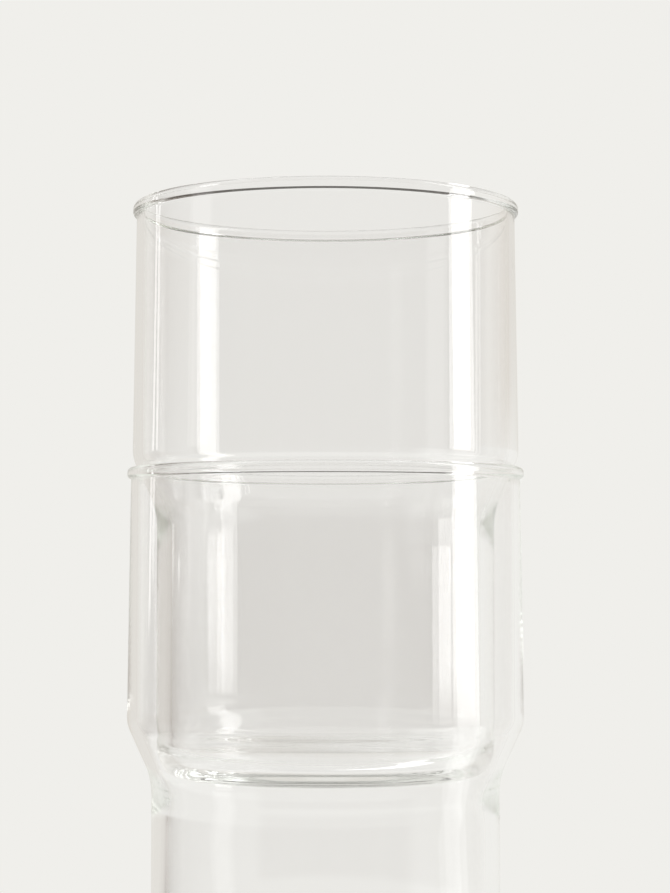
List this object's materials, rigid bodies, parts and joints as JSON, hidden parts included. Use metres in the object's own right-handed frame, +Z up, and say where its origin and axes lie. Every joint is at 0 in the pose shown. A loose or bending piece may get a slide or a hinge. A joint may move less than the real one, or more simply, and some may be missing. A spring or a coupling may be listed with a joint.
{
  "type": "stacked cortado glasses",
  "caption": "Clear blown-glass cortado tumblers nested as a stack: beaded rim, straight body, sloped shoulder and a narrower round-heeled base that sits in the glass below.",
  "frame": {"origin": "where the axis of both glasses meets the table, at the lower glass's foot", "axes": "+Z up along the common axis of the glasses; X and Y are free, as the glasses are round"},
  "size_m": [0.0635, 0.0634, 0.1332],
  "materials": {
    "clear_glass": "clear, fire polished, faintly green through thick sections"
  },
  "bodies": {
    "lower_glass": {"lower_glass": "clear_glass"},
    "upper_glass": {"upper_glass": "clear_glass"}
  },
  "joints": [
    {"name": "upper_lift", "type": "slide", "parent": "lower_glass", "child": "upper_glass", "axis": [0, 0, 1], "range_m": [0, 0.08]}
  ]
}
